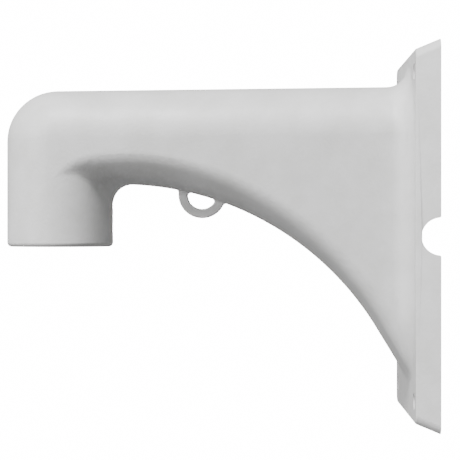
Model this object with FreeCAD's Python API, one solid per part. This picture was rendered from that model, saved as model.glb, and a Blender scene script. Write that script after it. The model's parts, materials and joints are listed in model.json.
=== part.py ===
import FreeCAD, Part
import math
import os

from FreeCAD import Vector

# Frame: the wall is the plane y = 0, the arm reaches out along -Y, +Z is up.
# Distances out from the wall are called reach and are positive.

# Wall base
base_width = 124.0
base_height = 211.0
base_depth = 13.0
base_lean = 5.0
base_corner_round = 6.0
base_rim_round = 1.0
wall = 4.0

# Fixing holes in the corners of the base
hole_diameter = 9.0
hole_spacing_across = 94.0
hole_spacing_up = 178.0
pad_side = 8.5

# Vertical pipe that the camera screws into
pipe_diameter = 60.0
pipe_reach = 210.0
pipe_bottom = -6.0
pipe_bottom_round = 2.5

# Female pipe thread G 1 1/2: the bore has its major diameter, the ridges stand in from it
thread_major_diameter = 47.8
thread_stretch = 22.0
thread_lead_in = 1.6
cast_bore_diameter = 44.0

# Arm: plan and top. The top edge is rounded until this half width is left flat at the pipe.
arm_flare = math.radians(3.0)
arm_top_at_pipe = 82.5
arm_top_at_base = 84.0
arm_top_flat = 1.0

# Arm: curved underside, a circle that ends in a straight toe at the base.
# It is turned round a level line, so that it is crowned across.
under_apex_before_pipe = 34.3
under_apex_height = 29.4
toe_reach = 29.4
toe_angle = math.radians(58.6)
crown_beyond_pipe = 14.6
under_edge_round = 10.0
pipe_crease = 11.0
duct_strip_turn = 20.0
duct_strips_each_side = 2

# Run-out of the arm into the base
root_round_side = 12.0
root_round_top = 7.0

# Ring for the safety rope, placed from the underside's highest point towards the wall
ring_behind_apex = 46.6
ring_sink = 0.7
ring_outer_radius = 13.5
ring_eye_radius = 8.2
ring_thickness = 6.0
ring_edge_round = 0.9
ring_root_round = 1.6

# Cable notch in the side wall of the base
notch_radius = 10.0
notch_mouth_round = 1.0

# Overshoot of the cutting bodies and the half side of a block larger than the part
over = 1.0
far = 300.0

# Distances below this count as none. A face turned less than this from X faces sideways.
touching = 0.01
sideways_within = math.radians(25.0)

# What follows from the sizes above
pipe_radius = pipe_diameter / 2
arm_top_round = pipe_radius - arm_top_flat
thread_radius = thread_major_diameter / 2
half_ring = ring_thickness / 2
top_slope = (arm_top_at_base - arm_top_at_pipe) / (pipe_reach - base_depth)
under_apex_reach = pipe_reach - under_apex_before_pipe
ring_reach = under_apex_reach - ring_behind_apex
under_radius = (under_apex_reach - toe_reach) / math.sin(toe_angle)
under_centre_height = under_apex_height - under_radius
crown_axis_height = under_apex_height + pipe_radius + crown_beyond_pipe

doc = FreeCAD.newDocument("camera_wall_bracket")


def at(x, reach, z):
    return Vector(x, -reach, z)


def top_height(reach):
    return arm_top_at_pipe + (pipe_reach - reach) * top_slope


def round_edges(shape, edges, radius_at):
    """Round each edge with the radius that radius_at gives at its two ends."""
    source = doc.addObject("Part::Feature", "source")
    source.Shape = shape
    rounding = doc.addObject("Part::Fillet", "rounding")
    rounding.Base = source
    settings = []
    for number, edge in enumerate(source.Shape.Edges, start=1):
        if any(edge.isSame(wanted) for wanted in edges):
            start = radius_at(edge.valueAt(edge.FirstParameter))
            end = radius_at(edge.valueAt(edge.LastParameter))
            settings.append((number, start, end))
    rounding.Edges = settings
    doc.recompute()
    return rounding.Shape


# Wall base
def base_block(start_reach, end_reach, inset, corner_round):
    """Block whose four sides lean in with growing reach, with rounded corners."""
    lean_start = base_lean * start_reach / base_depth + inset
    lean_end = base_lean * end_reach / base_depth + inset
    start_x = base_width / 2 - lean_start
    start_z = base_height / 2 - lean_start
    end_x = base_width / 2 - lean_end
    end_z = base_height / 2 - lean_end
    block = Part.makeWedge(-end_x, -end_reach, -end_z, -start_z, -start_x,
                           end_x, -start_reach, end_z, start_z, start_x)
    corners = [edge for edge in block.Edges if edge.BoundBox.YLength > over]
    return block.makeFillet(corner_round, corners)


def base_solid():
    plate = base_block(0.0, base_depth, 0.0, base_corner_round)
    rim = [edge for edge in plate.Edges if edge.BoundBox.YMax < over - base_depth]
    return plate.makeFillet(base_rim_round, rim)


def corner_pad():
    """Solid corner round one fixing hole, with a rounded inner edge."""
    inner_x = hole_spacing_across / 2 - pad_side
    inner_z = hole_spacing_up / 2 - pad_side
    pad = Part.makeBox(far, base_depth, far, at(inner_x, base_depth, inner_z))
    inner_edge = [edge for edge in pad.Edges
                  if edge.BoundBox.XMax < inner_x + over
                  and edge.BoundBox.ZMax < inner_z + over]
    return pad.makeFillet(pad_side, inner_edge)


def base_chamber():
    """Open space behind the front wall of the base, less the four corner pads."""
    chamber = base_block(-over, base_depth - wall, wall, base_corner_round - wall / 2)
    upper_pad = corner_pad()
    lower_pad = upper_pad.mirror(Vector(), Vector(0, 0, 1))
    for pad in (upper_pad, lower_pad):
        chamber = chamber.cut(pad)
        chamber = chamber.cut(pad.mirror(Vector(), Vector(1, 0, 0)))
    return chamber


def fixing_holes():
    holes = []
    for x in (-hole_spacing_across / 2, hole_spacing_across / 2):
        for z in (-hole_spacing_up / 2, hole_spacing_up / 2):
            start = at(x, base_depth + over, z)
            length = base_depth + 2 * over
            holes.append(Part.makeCylinder(hole_diameter / 2, length, start, Vector(0, 1, 0)))
    return holes


def cable_notch():
    """Half round notch in the back edge of the +X side wall, with a rounded mouth."""
    start_x = base_width / 2 - base_lean - wall - over
    length = base_width / 2 + over - start_x
    notch = Part.makeCylinder(notch_radius, length, Vector(start_x, 0, 0), Vector(1, 0, 0))
    half_mouth = notch_radius + notch_mouth_round
    mouth = Part.makeBox(length, notch_mouth_round + over, 2 * half_mouth,
                         at(start_x, notch_mouth_round, -half_mouth))
    for side in (-1, 1):
        lip = Part.makeCylinder(notch_mouth_round, length,
                                at(start_x, notch_mouth_round, side * half_mouth),
                                Vector(1, 0, 0))
        mouth = mouth.cut(lip)
    return notch.fuse(mouth)


# Arm with its pipe
def arm_plan(inset, start_reach, z):
    """Plan of the arm: a half circle round the pipe and two sides that flare to the base."""
    radius = pipe_radius - inset
    tangent_x = radius * math.cos(arm_flare)
    tangent_reach = pipe_reach + radius * math.sin(arm_flare)
    start_x = tangent_x + (tangent_reach - start_reach) * math.tan(arm_flare)
    nose = Part.Arc(at(tangent_x, tangent_reach, z),
                    at(0, pipe_reach + radius, z),
                    at(-tangent_x, tangent_reach, z)).toShape()
    near_side = Part.makeLine(at(start_x, start_reach, z), at(tangent_x, tangent_reach, z))
    far_side = Part.makeLine(at(-tangent_x, tangent_reach, z), at(-start_x, start_reach, z))
    close = Part.makeLine(at(-start_x, start_reach, z), at(start_x, start_reach, z))
    return Part.Face(Part.Wire([near_side, nose, far_side, close]))


def arm_block(inset, start_reach):
    """The arm's plan raised to its sloping top, whose edge is rounded like a dome."""
    block = arm_plan(inset, start_reach, -far).extrude(Vector(0, 0, 2 * far))
    above = [at(-far, 0, top_height(0) - inset),
             at(-far, far, top_height(far) - inset),
             at(-far, far, far + over),
             at(-far, 0, far + over)]
    above_face = Part.Face(Part.makePolygon(above + above[:1]))
    block = block.cut(above_face.extrude(Vector(2 * far, 0, 0)))
    lowest_top = top_height(pipe_reach + pipe_radius) - inset - over
    top_edges = [edge for edge in block.Edges
                 if edge.BoundBox.ZMin > lowest_top
                 and edge.BoundBox.YMin < -start_reach - over]
    return block.makeFillet(arm_top_round - inset, top_edges)


def under_point(angle, inset):
    """Point of the underside's circle, by its angle from the highest point."""
    radius = under_radius + inset
    return at(0, under_apex_reach - radius * math.sin(angle),
              under_centre_height + radius * math.cos(angle))


def under_lines(inset, start_reach):
    """The underside's middle line: its toe, its circle and the two ends."""
    beyond_pipe = under_apex_reach - pipe_reach - pipe_diameter
    front = under_point(math.asin(beyond_pipe / (under_radius + inset)), inset)
    toe = under_point(toe_angle, inset)
    toe_end_z = toe.z - (-toe.y - start_reach) * math.tan(toe_angle)
    toe_end = at(0, start_reach, toe_end_z)
    circle = Part.Arc(toe, under_point(0.0, inset), front).toShape()
    return [Part.makeLine(toe_end, toe), circle], toe_end, front


def section_to_height(inset, start_reach, z):
    """Face between the underside's middle line and a level line."""
    lines, toe_end, front = under_lines(inset, start_reach)
    level_start = at(0, start_reach, z)
    level_end = at(0, -front.y, z)
    lines.append(Part.makeLine(front, level_end))
    lines.append(Part.makeLine(level_end, level_start))
    lines.append(Part.makeLine(level_start, toe_end))
    return Part.Face(Part.Wire(lines))


def space_below(inset, start_reach):
    """Everything below the arm's crowned underside."""
    axis_start = at(0, start_reach, crown_axis_height)
    belly = section_to_height(inset, start_reach, crown_axis_height)
    belly = belly.revolve(axis_start, Vector(0, 1, 0), 360)
    belly.rotate(axis_start, Vector(0, 1, 0), 180)  # its seam goes to the top
    below = Part.makeBox(2 * far, far - start_reach, far + over + crown_axis_height,
                         at(-far, far, -far - over))
    return below.cut(belly)


def pipe_sector(first_angle, last_angle):
    """Sector of the pipe's cylinder, so that its seams lie where the creases end."""
    length = far + crown_axis_height + 3 * over
    sector = Part.makeCylinder(pipe_radius, length, at(0, pipe_reach, -far - 2 * over),
                               Vector(0, 0, 1), last_angle - first_angle)
    sector.rotate(at(0, pipe_reach, 0), Vector(0, 0, 1), first_angle)
    return sector


def space_round_pipe():
    """The space below the arm, with the pipe standing in it and the crease between them."""
    space = space_below(0.0, base_depth / 2)
    tangent = math.degrees(arm_flare)
    for first_angle, last_angle in ((-tangent, 90), (90, 180 + tangent), (180 + tangent, 360 - tangent)):
        space = space.cut(pipe_sector(first_angle, last_angle))

    def on_pipe(point):
        return abs(math.hypot(point.x, point.y + pipe_reach) - pipe_radius) < touching

    crease = []
    for edge in space.Edges:
        middle = edge.valueAt((edge.FirstParameter + edge.LastParameter) / 2)
        if on_pipe(middle) and on_pipe(edge.Vertexes[0].Point) and edge.BoundBox.ZMin > 0:
            crease.append(edge)
    return space.makeFillet(pipe_crease, crease)


def lower_side_edges(body):
    """Edges between the arm's flat sides and its curved underside."""
    edges = []
    for face in body.Faces:
        if face.Surface.TypeId != "Part::GeomPlane":
            continue
        if abs(face.normalAt(0, 0).x) < math.cos(sideways_within):
            continue
        for edge in face.Edges:
            box = edge.BoundBox
            middle = edge.valueAt((edge.FirstParameter + edge.LastParameter) / 2)
            if middle.z < arm_top_at_pipe / 2 and box.YLength > over / 2:
                edges.append(edge)
    return edges


def arm_solid():
    start_reach = base_depth / 2
    arm = arm_block(0.0, start_reach).cut(space_round_pipe())
    below_pipe = Part.makeBox(far, far, far,
                              at(-far / 2, pipe_reach - pipe_diameter + far, pipe_bottom - far))
    arm = arm.cut(below_pipe)
    return arm.makeFillet(under_edge_round, lower_side_edges(arm))


def arm_duct():
    """Inside of the arm, one wall thickness in. Level strips across make its crowned floor."""
    start_reach = base_depth - wall - over
    duct = arm_block(wall, start_reach)
    floor = section_to_height(wall, start_reach - over, -far)
    floor.translate(Vector(-far, 0, 0))
    below = floor.extrude(Vector(2 * far, 0, 0))
    for strip in range(-duct_strips_each_side, duct_strips_each_side + 1):
        turned = below.copy()
        turned.rotate(at(0, 0, crown_axis_height), Vector(0, 1, 0), strip * duct_strip_turn)
        duct = duct.cut(turned)
    return duct


def pipe_bore():
    """Thread stretch with its lead-in, then the cast bore up into the duct."""
    duct_middle = arm_top_at_pipe / 2
    axis_start = at(0, pipe_reach, pipe_bottom)
    thread = Part.makeCylinder(thread_radius, thread_stretch, axis_start)
    bore = Part.makeCylinder(cast_bore_diameter / 2, duct_middle - pipe_bottom, axis_start)
    lead_in = Part.makeCone(thread_radius + thread_lead_in + over, thread_radius,
                            thread_lead_in + over, at(0, pipe_reach, pipe_bottom - over))
    return thread.fuse(bore).fuse(lead_in)


# Ring for the safety rope
def ring_centre_height():
    """Height of the ring's centre, sunk a little into the underside."""
    drop = math.sqrt(under_radius ** 2 - (under_apex_reach - ring_reach) ** 2)
    return under_centre_height + drop + ring_sink


def ring_profile(radius, x, top):
    """Half circle round the ring's centre with straight legs up to the given height."""
    z = ring_centre_height()
    bow = Part.Arc(at(x, ring_reach + radius, z),
                   at(x, ring_reach, z - radius),
                   at(x, ring_reach - radius, z)).toShape()
    inner_leg = Part.makeLine(at(x, ring_reach - radius, z), at(x, ring_reach - radius, top))
    cap = Part.makeLine(at(x, ring_reach - radius, top), at(x, ring_reach + radius, top))
    outer_leg = Part.makeLine(at(x, ring_reach + radius, top), at(x, ring_reach + radius, z))
    return Part.Face(Part.Wire([bow, inner_leg, cap, outer_leg]))


def rope_ring():
    top = ring_centre_height() + wall
    thickness = Vector(ring_thickness, 0, 0)
    ring = ring_profile(ring_outer_radius, -half_ring, top - over / 2).extrude(thickness)
    eye = ring_profile(ring_eye_radius, -half_ring, top).extrude(thickness)
    ring = ring.cut(eye)
    cheek_edges = [edge for edge in ring.Edges
                   if edge.BoundBox.XLength < touching and edge.BoundBox.ZMin < top - over]
    return ring.makeFillet(ring_edge_round, cheek_edges)


def on_underside(point):
    """True for a point of the crowned underside, turned back to its middle line."""
    middle_z = crown_axis_height - math.hypot(point.x, crown_axis_height - point.z)
    from_centre = math.hypot(under_apex_reach + point.y, middle_z - under_centre_height)
    return abs(from_centre - under_radius) < touching


def ring_root_edges(body):
    """Edges where the legs of the ring meet the underside of the arm."""
    edges = []
    for edge in body.Edges:
        middle = edge.valueAt((edge.FirstParameter + edge.LastParameter) / 2)
        near_ring = abs(ring_reach + middle.y) < ring_outer_radius + over
        if on_underside(middle) and near_ring and abs(middle.x) < half_ring + touching:
            edges.append(edge)
    return edges


# The whole casting
def root_radius(point):
    """Rounding between arm and base, smaller over the top."""
    if point.z > arm_top_at_base - over:
        return root_round_top
    return root_round_side


def root_edges(body):
    """Edges where the arm meets the front face of the base."""
    edges = []
    for edge in body.Edges:
        box = edge.BoundBox
        on_front = abs(box.YMax + base_depth) < touching and box.YLength < touching
        in_arm = max(box.XMax, -box.XMin) < hole_spacing_across / 2
        if on_front and in_arm:
            edges.append(edge)
    return edges


def pipe_rim_edges(body):
    """Outer edge of the pipe's lower end."""
    edges = []
    for edge in body.Edges:
        box = edge.BoundBox
        if abs(box.ZMax - pipe_bottom) < touching and box.ZLength < touching:
            edges.append(edge)
    return edges


def outer_form():
    body = base_solid().fuse(arm_solid())
    body = round_edges(body, root_edges(body), root_radius)
    body = body.makeFillet(pipe_bottom_round, pipe_rim_edges(body))
    body = body.fuse(rope_ring())
    return body.makeFillet(ring_root_round, ring_root_edges(body))


def wall_bracket():
    body = outer_form()
    body = body.cut(base_chamber())
    body = body.cut(arm_duct())
    body = body.cut(pipe_bore())
    for hole in fixing_holes():
        body = body.cut(hole)
    return body.cut(cable_notch())


os.makedirs("parts", exist_ok=True)
wall_bracket().exportStep("parts/wall_bracket.step")
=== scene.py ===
import bpy
import bmesh
import json
import math
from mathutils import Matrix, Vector


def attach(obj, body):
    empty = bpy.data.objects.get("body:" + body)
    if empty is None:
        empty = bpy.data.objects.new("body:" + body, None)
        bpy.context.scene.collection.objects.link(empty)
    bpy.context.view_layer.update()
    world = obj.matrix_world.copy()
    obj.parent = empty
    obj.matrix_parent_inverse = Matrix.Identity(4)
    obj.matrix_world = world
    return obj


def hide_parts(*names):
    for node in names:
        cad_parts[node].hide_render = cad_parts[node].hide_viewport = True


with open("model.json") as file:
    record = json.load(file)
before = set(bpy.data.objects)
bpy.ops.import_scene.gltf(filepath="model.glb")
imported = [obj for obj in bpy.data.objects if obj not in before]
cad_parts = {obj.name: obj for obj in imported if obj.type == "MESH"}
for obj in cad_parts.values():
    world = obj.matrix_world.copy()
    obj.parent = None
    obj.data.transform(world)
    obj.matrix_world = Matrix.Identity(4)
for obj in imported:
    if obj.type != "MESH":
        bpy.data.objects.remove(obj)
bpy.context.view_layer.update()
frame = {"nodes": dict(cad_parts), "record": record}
mm = 0.001
mouth = [mount for mount in frame["record"]["mounts"] if mount["name"] == "camera_thread"][0]
mouthReach = -mouth["pos_m"][1]
mouthHeight = mouth["pos_m"][2]
mouthRadius = mouth["dims"]["r_mm"] * mm
mouthLength = mouth["dims"]["length_mm"] * mm
print("frame loaded")


# Small helpers

def hexToLinear(code):
    # "#rrggbb" in sRGB to the linear colour that the shader wants
    linear = []
    for start in (1, 3, 5):
        value = int(code[start:start + 2], 16) / 255
        if value <= 0.04045:
            linear.append(value / 12.92)
        else:
            linear.append(((value + 0.055) / 1.055) ** 2.4)
    return (*linear, 1.0)


def addNode(tree, kind, settings=None, inputs=None, links=None):
    # one node: attributes, socket values, and links as {socket: (node, output)}
    node = tree.nodes.new(kind)
    for name, value in (settings or {}).items():
        setattr(node, name, value)
    for socket, value in (inputs or {}).items():
        node.inputs[socket].default_value = value
    for socket, (source, output) in (links or {}).items():
        tree.links.new(source.outputs[output], node.inputs[socket])
    return node


def emptyMaterial(name):
    material = bpy.data.materials.new(name)
    material.use_nodes = True
    material.node_tree.nodes.clear()
    return material


def linkObject(name, data):
    thing = bpy.data.objects.new(name, data)
    bpy.context.collection.objects.link(thing)
    return thing


# Camera, square on the bracket's side as in the photograph

camera = {
    "place": (0.855, -0.0961, 0.00345),  # metres from the origin on the wall
    "focalPixels": 1497.6,               # focal length in pixels of the 460 px frame
    "framePixels": 460,
    "sensor": 36.0,
    "sidePixels": -30,                   # the base reaches nearer to the frame's edge than the pipe
    "farthest": 60,                      # metres
}

cameraData = bpy.data.cameras.new("camera")
cameraObject = linkObject("camera", cameraData)
cameraObject.location = camera["place"]
cameraObject.rotation_euler = (math.radians(90), 0, math.radians(90))
cameraData.sensor_width = camera["sensor"]
cameraData.lens = camera["focalPixels"] / camera["framePixels"] * camera["sensor"]
cameraData.shift_x = camera["sidePixels"] / camera["framePixels"]
cameraData.clip_end = camera["farthest"]
bpy.context.scene.camera = cameraObject
print("camera placed")


# Materials

coat = {
    "colour": "#DCDCDC",
    "shadeColour": "#D2D2D1",   # the faint clouds in a sprayed coat
    "cloudSize": 20 * mm,
    "roughness": 0.46,
    "roughnessSpread": 0.06,
    "peelSize": 1.8 * mm,       # orange peel of a baked powder coat
    "peelDepth": 0.09 * mm,
    "gritSize": 0.5 * mm,       # fine grit, drawn coarser than the real 0.1 mm so that it shows
    "gritDepth": 0.015 * mm,
}


def powderCoat():
    # Polyester powder coat, sprayed and baked: pale neutral grey, satin, with a soft orange peel
    # that breaks up the highlights on the long roundings.
    material = emptyMaterial("satin powder coat")
    tree = material.node_tree
    place = addNode(tree, "ShaderNodeTexCoord")
    clouds = addNode(tree, "ShaderNodeTexNoise",
                     inputs={"Scale": 1 / coat["cloudSize"], "Detail": 3.0, "Roughness": 0.65},
                     links={"Vector": (place, "Object")})
    patches = addNode(tree, "ShaderNodeMapRange",
                      inputs={"From Min": 0.35, "From Max": 0.65},
                      links={"Value": (clouds, "Fac")})
    # inputs 6 and 7 of a colour mix are its two colours, output 2 is the result
    colour = addNode(tree, "ShaderNodeMix", settings={"data_type": "RGBA"},
                     inputs={6: hexToLinear(coat["colour"]), 7: hexToLinear(coat["shadeColour"])},
                     links={"Factor": (patches, "Result")})
    peel = addNode(tree, "ShaderNodeTexNoise",
                   inputs={"Scale": 1 / coat["peelSize"], "Detail": 1.0, "Roughness": 0.4},
                   links={"Vector": (place, "Object")})
    grit = addNode(tree, "ShaderNodeTexNoise",
                   inputs={"Scale": 1 / coat["gritSize"], "Detail": 0.0},
                   links={"Vector": (place, "Object")})
    peelBump = addNode(tree, "ShaderNodeBump",
                       inputs={"Strength": 1.0, "Distance": coat["peelDepth"]},
                       links={"Height": (peel, "Fac")})
    gritBump = addNode(tree, "ShaderNodeBump",
                       inputs={"Strength": 1.0, "Distance": coat["gritDepth"]},
                       links={"Height": (grit, "Fac"), "Normal": (peelBump, "Normal")})
    gloss = addNode(tree, "ShaderNodeMapRange",
                    inputs={"To Min": coat["roughness"] - coat["roughnessSpread"] / 2,
                            "To Max": coat["roughness"] + coat["roughnessSpread"] / 2},
                    links={"Value": (patches, "Result")})
    shader = addNode(tree, "ShaderNodeBsdfPrincipled",
                     inputs={"IOR": 1.5, "Metallic": 0.0},
                     links={"Base Color": (colour, 2), "Roughness": (gloss, "Result"),
                            "Normal": (gritBump, "Normal")})
    addNode(tree, "ShaderNodeOutputMaterial", links={"Surface": (shader, "BSDF")})
    return material


waveLength = 2 * math.pi / 20   # one band of a wave texture of scale 1, in metres
machined = {
    "colour": "#C9CACC",
    "roughness": 0.32,
    "markPitch": 0.4 * mm,      # feed marks of the thread cutter round the bore
    "markDepth": 0.002 * mm,
}


def machinedAluminium():
    # Turned die-cast aluminium in the threaded mouth, left bare: bright, with fine rings
    # that the cutter leaves round the bore.
    material = emptyMaterial("machined aluminium")
    tree = material.node_tree
    place = addNode(tree, "ShaderNodeTexCoord")
    rings = addNode(tree, "ShaderNodeTexWave",
                    settings={"wave_type": "BANDS", "bands_direction": "Z"},
                    inputs={"Scale": waveLength / machined["markPitch"], "Distortion": 0.4},
                    links={"Vector": (place, "Object")})
    bump = addNode(tree, "ShaderNodeBump",
                   inputs={"Strength": 1.0, "Distance": machined["markDepth"]},
                   links={"Height": (rings, "Fac")})
    shader = addNode(tree, "ShaderNodeBsdfPrincipled",
                     inputs={"Base Color": hexToLinear(machined["colour"]),
                             "Metallic": 1.0,
                             "Roughness": machined["roughness"]},
                     links={"Normal": (bump, "Normal")})
    addNode(tree, "ShaderNodeOutputMaterial", links={"Surface": (shader, "BSDF")})
    return material


coatMaterial = powderCoat()
bareMaterial = machinedAluminium()
print("materials made")


# The casting: a merged copy of the CAD solid with smooth shading

casting = {
    "mergeDistance": 0.002 * mm,
    "creaseAngle": math.radians(24),    # sharper edges than this stay crisp
    "normalWeight": 100,                # large faces lead the shading of the roundings beside them
    "bareRadius": mouthRadius + 0.3 * mm,   # the threaded mouth is bare metal up to here
    "bareTop": mouthHeight + mouthLength + 0.05 * mm,
}


def castBracket():
    mesh = bpy.data.meshes.new("bracket casting")
    build = bmesh.new()
    build.from_mesh(frame["nodes"]["wall_bracket"].data)
    bmesh.ops.remove_doubles(build, verts=build.verts, dist=casting["mergeDistance"])
    for face in build.faces:
        face.smooth = True
        face.material_index = 0
        centre = face.calc_center_median()
        fromAxis = math.hypot(centre.x, centre.y + mouthReach)
        if fromAxis < casting["bareRadius"] and centre.z < casting["bareTop"]:
            face.material_index = 1
    build.to_mesh(mesh)
    build.free()
    mesh.set_sharp_from_angle(angle=casting["creaseAngle"])
    mesh.materials.append(coatMaterial)
    mesh.materials.append(bareMaterial)
    bracket = linkObject("bracket_casting", mesh)
    weights = bracket.modifiers.new("even shading", "WEIGHTED_NORMAL")
    weights.keep_sharp = True
    weights.weight = casting["normalWeight"]
    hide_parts("wall_bracket")
    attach(bracket, "root")
    return bracket


castBracket()
print("casting shaded")


# Thread ridges in the mouth of the pipe

thread = {
    "pitch": 2.309 * mm,        # 11 threads per inch
    "footRadius": mouthRadius + 0.15 * mm,      # the ridge's foot stands a little inside the wall
    "minorRadius": 22.42 * mm,
    "footWidth": 2.12 * mm,
    "start": 0.8 * mm,          # from the lead-in to the first ridge
    "turns": 7.5,
    "runOut": 0.35,             # share of a turn in which each end rises from the wall
    "leastRise": 0.02,          # share of its height that the ridge keeps at its ends
    "stepsPerTurn": 72,
    "mergeDistance": 0.0005 * mm,
    "crestWidth": 0.45 * mm,
}


def threadRidge():
    outer = thread["footRadius"]
    inner = thread["minorRadius"]
    halfFoot = thread["footWidth"] / 2
    halfCrest = thread["crestWidth"] / 2
    low = mouthHeight + thread["start"]
    build = bmesh.new()
    corners = []
    for radius, height in ((outer, -halfFoot), (inner, -halfCrest),
                           (inner, halfCrest), (outer, halfFoot)):
        corners.append(build.verts.new((radius, -mouthReach, low + height)))
    section = build.faces.new(corners)
    steps = int(thread["turns"] * thread["stepsPerTurn"])
    bmesh.ops.spin(build, geom=[section] + list(section.edges) + corners,
                   cent=(0, -mouthReach, 0), axis=(0, 0, 1),
                   dvec=(0, 0, thread["pitch"] / thread["stepsPerTurn"]),
                   angle=2 * math.pi * thread["turns"], steps=steps)
    for corner in build.verts:
        across = Vector((corner.co.x, corner.co.y + mouthReach))
        if across.length > (inner + outer) / 2:
            continue
        turn = (corner.co.z - low) / thread["pitch"]
        rise = min(turn, thread["turns"] - turn) / thread["runOut"]
        rise = min(max(rise, thread["leastRise"]), 1)
        across.length = outer + (inner - outer) * rise
        corner.co.x = across.x
        corner.co.y = across.y - mouthReach
    bmesh.ops.remove_doubles(build, verts=build.verts, dist=thread["mergeDistance"])
    bmesh.ops.recalc_face_normals(build, faces=build.faces)
    mesh = bpy.data.meshes.new("thread ridge")
    build.to_mesh(mesh)
    build.free()
    mesh.materials.append(bareMaterial)
    ridge = linkObject("thread_ridge", mesh)
    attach(ridge, "root")
    return ridge


threadRidge()
print("thread cut")


# Floor, backdrop and light

stage = {
    "floorHeight": -1.5,        # metres, the bracket hangs well clear of the floor, as on a wall
    "radius": 6.0,
    "bend": 1.5,
    "bendSteps": 8,
    "roundSteps": 64,
    "height": 5.0,
    "glow": 16.0,               # bright enough to stay white in the picture
    "white": "#FFFFFF",
    "roomLight": 0.26,          # even light from all sides
}


def studioFloor():
    # Floor, wall and ceiling in one round sweep. Only the camera sees it, so it sends no light back.
    build = bmesh.new()
    low = stage["floorHeight"]
    high = low + stage["height"]
    bend = stage["bend"]
    flat = stage["radius"] - bend
    path = [build.verts.new((0, 0, low))]
    turns = [math.radians(90) * step / stage["bendSteps"] for step in range(stage["bendSteps"] + 1)]
    for turn in turns:
        path.append(build.verts.new((flat + bend * math.sin(turn), 0,
                                     low + bend * (1 - math.cos(turn)))))
    for turn in turns:
        path.append(build.verts.new((flat + bend * math.cos(turn), 0,
                                     high - bend * (1 - math.sin(turn)))))
    path.append(build.verts.new((0, 0, high)))
    edges = [build.edges.new(pair) for pair in zip(path, path[1:])]
    bmesh.ops.spin(build, geom=path + edges, cent=(0, 0, 0), axis=(0, 0, 1),
                   angle=2 * math.pi, steps=stage["roundSteps"], use_merge=True)
    bmesh.ops.remove_doubles(build, verts=build.verts, dist=0.001 * mm)
    mesh = bpy.data.meshes.new("studio floor")
    build.to_mesh(mesh)
    build.free()
    material = emptyMaterial("white sweep")
    glow = addNode(material.node_tree, "ShaderNodeEmission",
                   inputs={"Color": hexToLinear(stage["white"]), "Strength": stage["glow"]})
    addNode(material.node_tree, "ShaderNodeOutputMaterial", links={"Surface": (glow, "Emission")})
    mesh.materials.append(material)
    floorObject = linkObject("studio_floor", mesh)
    floorObject.visible_diffuse = False
    floorObject.visible_glossy = False
    floorObject.visible_transmission = False
    floorObject.visible_shadow = False
    return floorObject


studioFloor()

lightAim = Vector((0, -0.11, 0.0))
lights = {
    # name: (turn from +X towards -Y, height above the horizon, distance, size, power)
    "key": (28, 57, 2.8, 0.7, 112.0),
    "front": (50, 15, 2.8, 0.8, 48.0),
    "shoulder": (46, 37, 2.8, 0.3, 40.0),   # gives the soft spot on the arm's rounded end
    # level with the bracket, so that they light its back and its far side alone
    "wall side": (-100, 3, 2.8, 0.6, 105.0),
    "far side": (-176, 3, 2.8, 0.25, 80.0),
}


def placeLight(name, turn, height, distance, size, power):
    data = bpy.data.lights.new(name, "AREA")
    data.shape = "DISK"
    data.size = size
    data.energy = power
    flat = math.cos(math.radians(height))
    toLight = Vector((flat * math.cos(math.radians(turn)),
                      -flat * math.sin(math.radians(turn)),
                      math.sin(math.radians(height))))
    lamp = linkObject(name, data)
    lamp.location = lightAim + toLight * distance
    lamp.rotation_euler = (-toLight).to_track_quat("-Z", "Y").to_euler()
    return lamp


for name, values in lights.items():
    placeLight(name, *values)

world = bpy.data.worlds.new("studio")
world.use_nodes = True
background = world.node_tree.nodes["Background"]
background.inputs["Color"].default_value = hexToLinear(stage["white"])
background.inputs["Strength"].default_value = stage["roomLight"]
bpy.context.scene.world = world
print("stage lit")
